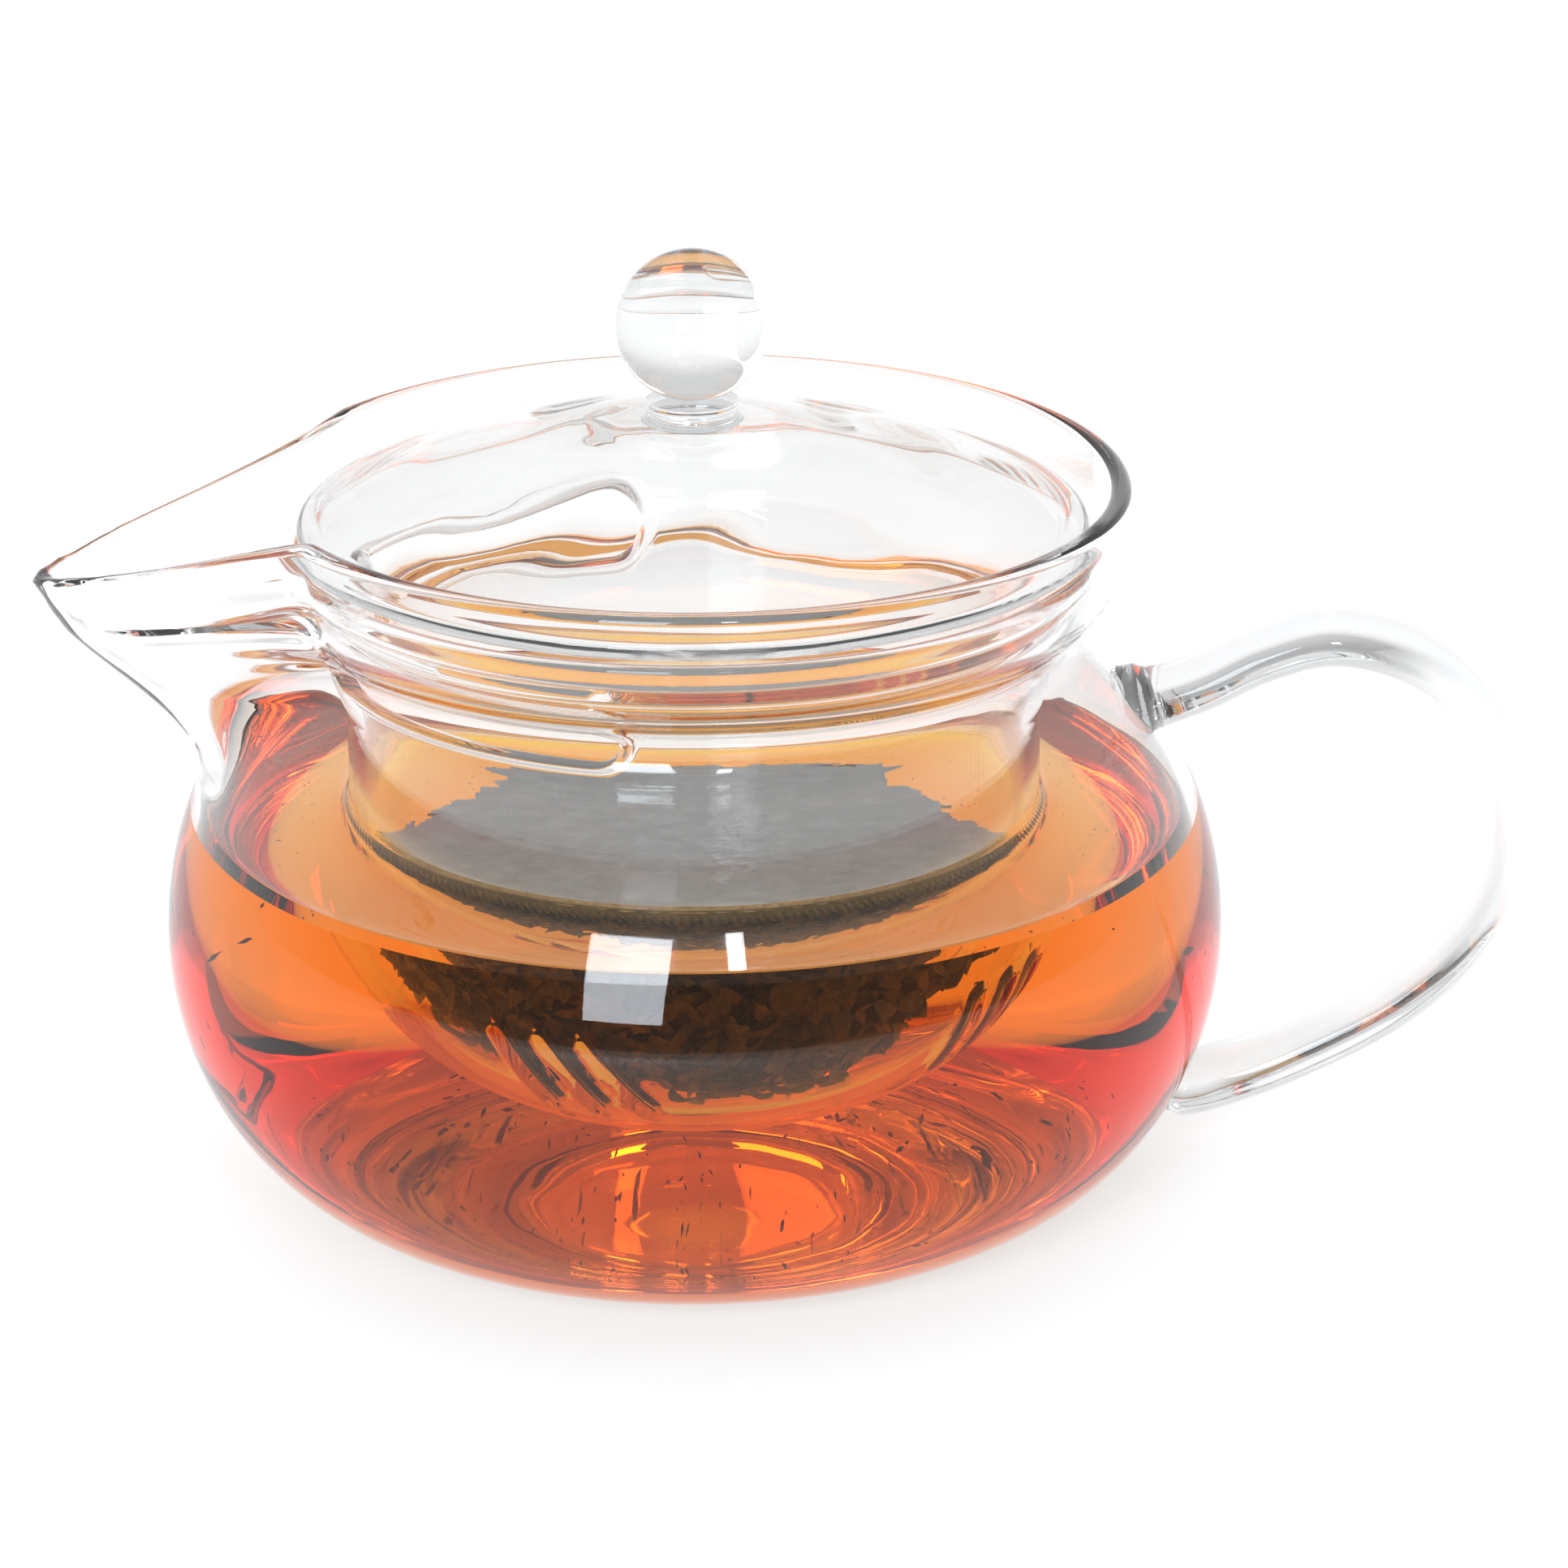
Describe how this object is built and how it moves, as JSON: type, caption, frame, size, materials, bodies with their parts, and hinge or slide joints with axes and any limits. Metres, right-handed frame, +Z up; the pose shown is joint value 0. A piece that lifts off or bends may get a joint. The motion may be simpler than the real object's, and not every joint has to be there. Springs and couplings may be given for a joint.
{
  "type": "teapot",
  "caption": "Round-bellied clear glass teapot with a beak spout, strap handle, lift-out slotted glass infuser and domed lid with a ball knob.",
  "frame": {"origin": "centre of the flat resting face under the belly, on the pot's axis", "axes": "+Z up along the pot's axis, -X towards the spout's tip, +X towards the handle"},
  "size_m": [0.17, 0.12, 0.1082],
  "materials": {
    "pot_glass": "clear, fire-polished gloss",
    "solid_glass": "clear solid rod, fire-polished gloss",
    "infuser_glass": "clear gloss, misted above the tea",
    "lid_glass": "clear, slightly rippled gloss",
    "tea": "clear amber black tea",
    "tea_leaves": "wet black-brown leaf"
  },
  "bodies": {
    "pot": {"pot_body": "pot_glass", "handle": "solid_glass"},
    "infuser": {"infuser": "infuser_glass"},
    "lid": {"lid": "lid_glass", "lid_knob": "solid_glass"}
  },
  "joints": [
    {"name": "infuser_lift", "type": "slide", "parent": "pot", "child": "infuser", "axis": [0, 0, 1], "range_m": [0, 0.09]},
    {"name": "lid_lift", "type": "slide", "parent": "infuser", "child": "lid", "axis": [0, 0, 1], "range_m": [0, 0.06]}
  ]
}
